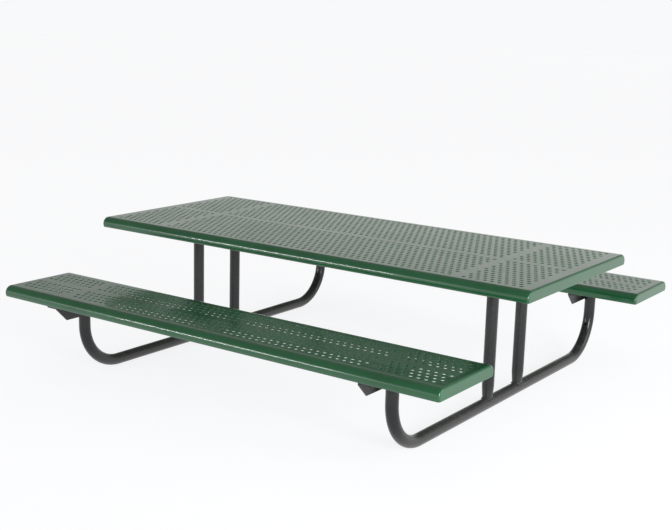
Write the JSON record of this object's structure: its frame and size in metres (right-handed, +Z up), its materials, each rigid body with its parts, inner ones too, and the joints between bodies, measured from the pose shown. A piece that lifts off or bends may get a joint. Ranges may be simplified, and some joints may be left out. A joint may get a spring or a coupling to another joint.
{
  "type": "picnic table",
  "caption": "Low picnic table with perforated steel top and two attached bench seats on bent tube frames, for outdoor eating and play.",
  "frame": {"origin": "on the ground under the middle of the tabletop", "axes": "+X along the table's length, +Y across it towards the back seat, +Z up"},
  "size_m": [1.8288, 1.7398, 0.4999],
  "materials": {
    "green_coating": "glossy dark green coating on steel sheet",
    "black_frame": "satin black powder coat on steel tube",
    "zinc_fasteners": "zinc plated"
  },
  "bodies": {
    "root": {"tabletop_perforated_panel": "green_coating", "tabletop_front_rolled_edge": "green_coating", "tabletop_back_rolled_edge": "green_coating", "tabletop_left_end_cap": "green_coating", "tabletop_right_end_cap": "green_coating", "tabletop_centre_rib": "green_coating", "tabletop_left_cross_channel": "green_coating", "tabletop_right_cross_channel": "green_coating", "front_seat_perforated_panel": "green_coating", "front_seat_front_rolled_edge": "green_coating", "front_seat_back_rolled_edge": "green_coating", "front_seat_left_end_cap": "green_coating", "front_seat_right_end_cap": "green_coating", "front_seat_centre_rib": "green_coating", "front_seat_left_cross_channel": "green_coating", "front_seat_right_cross_channel": "green_coating", "back_seat_perforated_panel": "green_coating", "back_seat_front_rolled_edge": "green_coating", "back_seat_back_rolled_edge": "green_coating", "back_seat_left_end_cap": "green_coating", "back_seat_right_end_cap": "green_coating", "back_seat_centre_rib": "green_coating", "back_seat_left_cross_channel": "green_coating", "back_seat_right_cross_channel": "green_coating", "left_frame_base_tube": "black_frame", "left_frame_front_leg": "black_frame", "left_frame_back_leg": "black_frame", "left_frame_table_support_angle": "black_frame", "left_frame_front_seat_support_angle": "black_frame", "left_frame_back_seat_support_angle": "black_frame", "right_frame_base_tube": "black_frame", "right_frame_front_leg": "black_frame", "right_frame_back_leg": "black_frame", "right_frame_table_support_angle": "black_frame", "right_frame_front_seat_support_angle": "black_frame", "right_frame_back_seat_support_angle": "black_frame", "tabletop_bolts": "zinc_fasteners", "tabletop_nuts": "zinc_fasteners", "tabletop_washers": "zinc_fasteners", "seat_bolts": "zinc_fasteners", "seat_nuts": "zinc_fasteners", "seat_washers": "zinc_fasteners"}
  },
  "joints": []
}
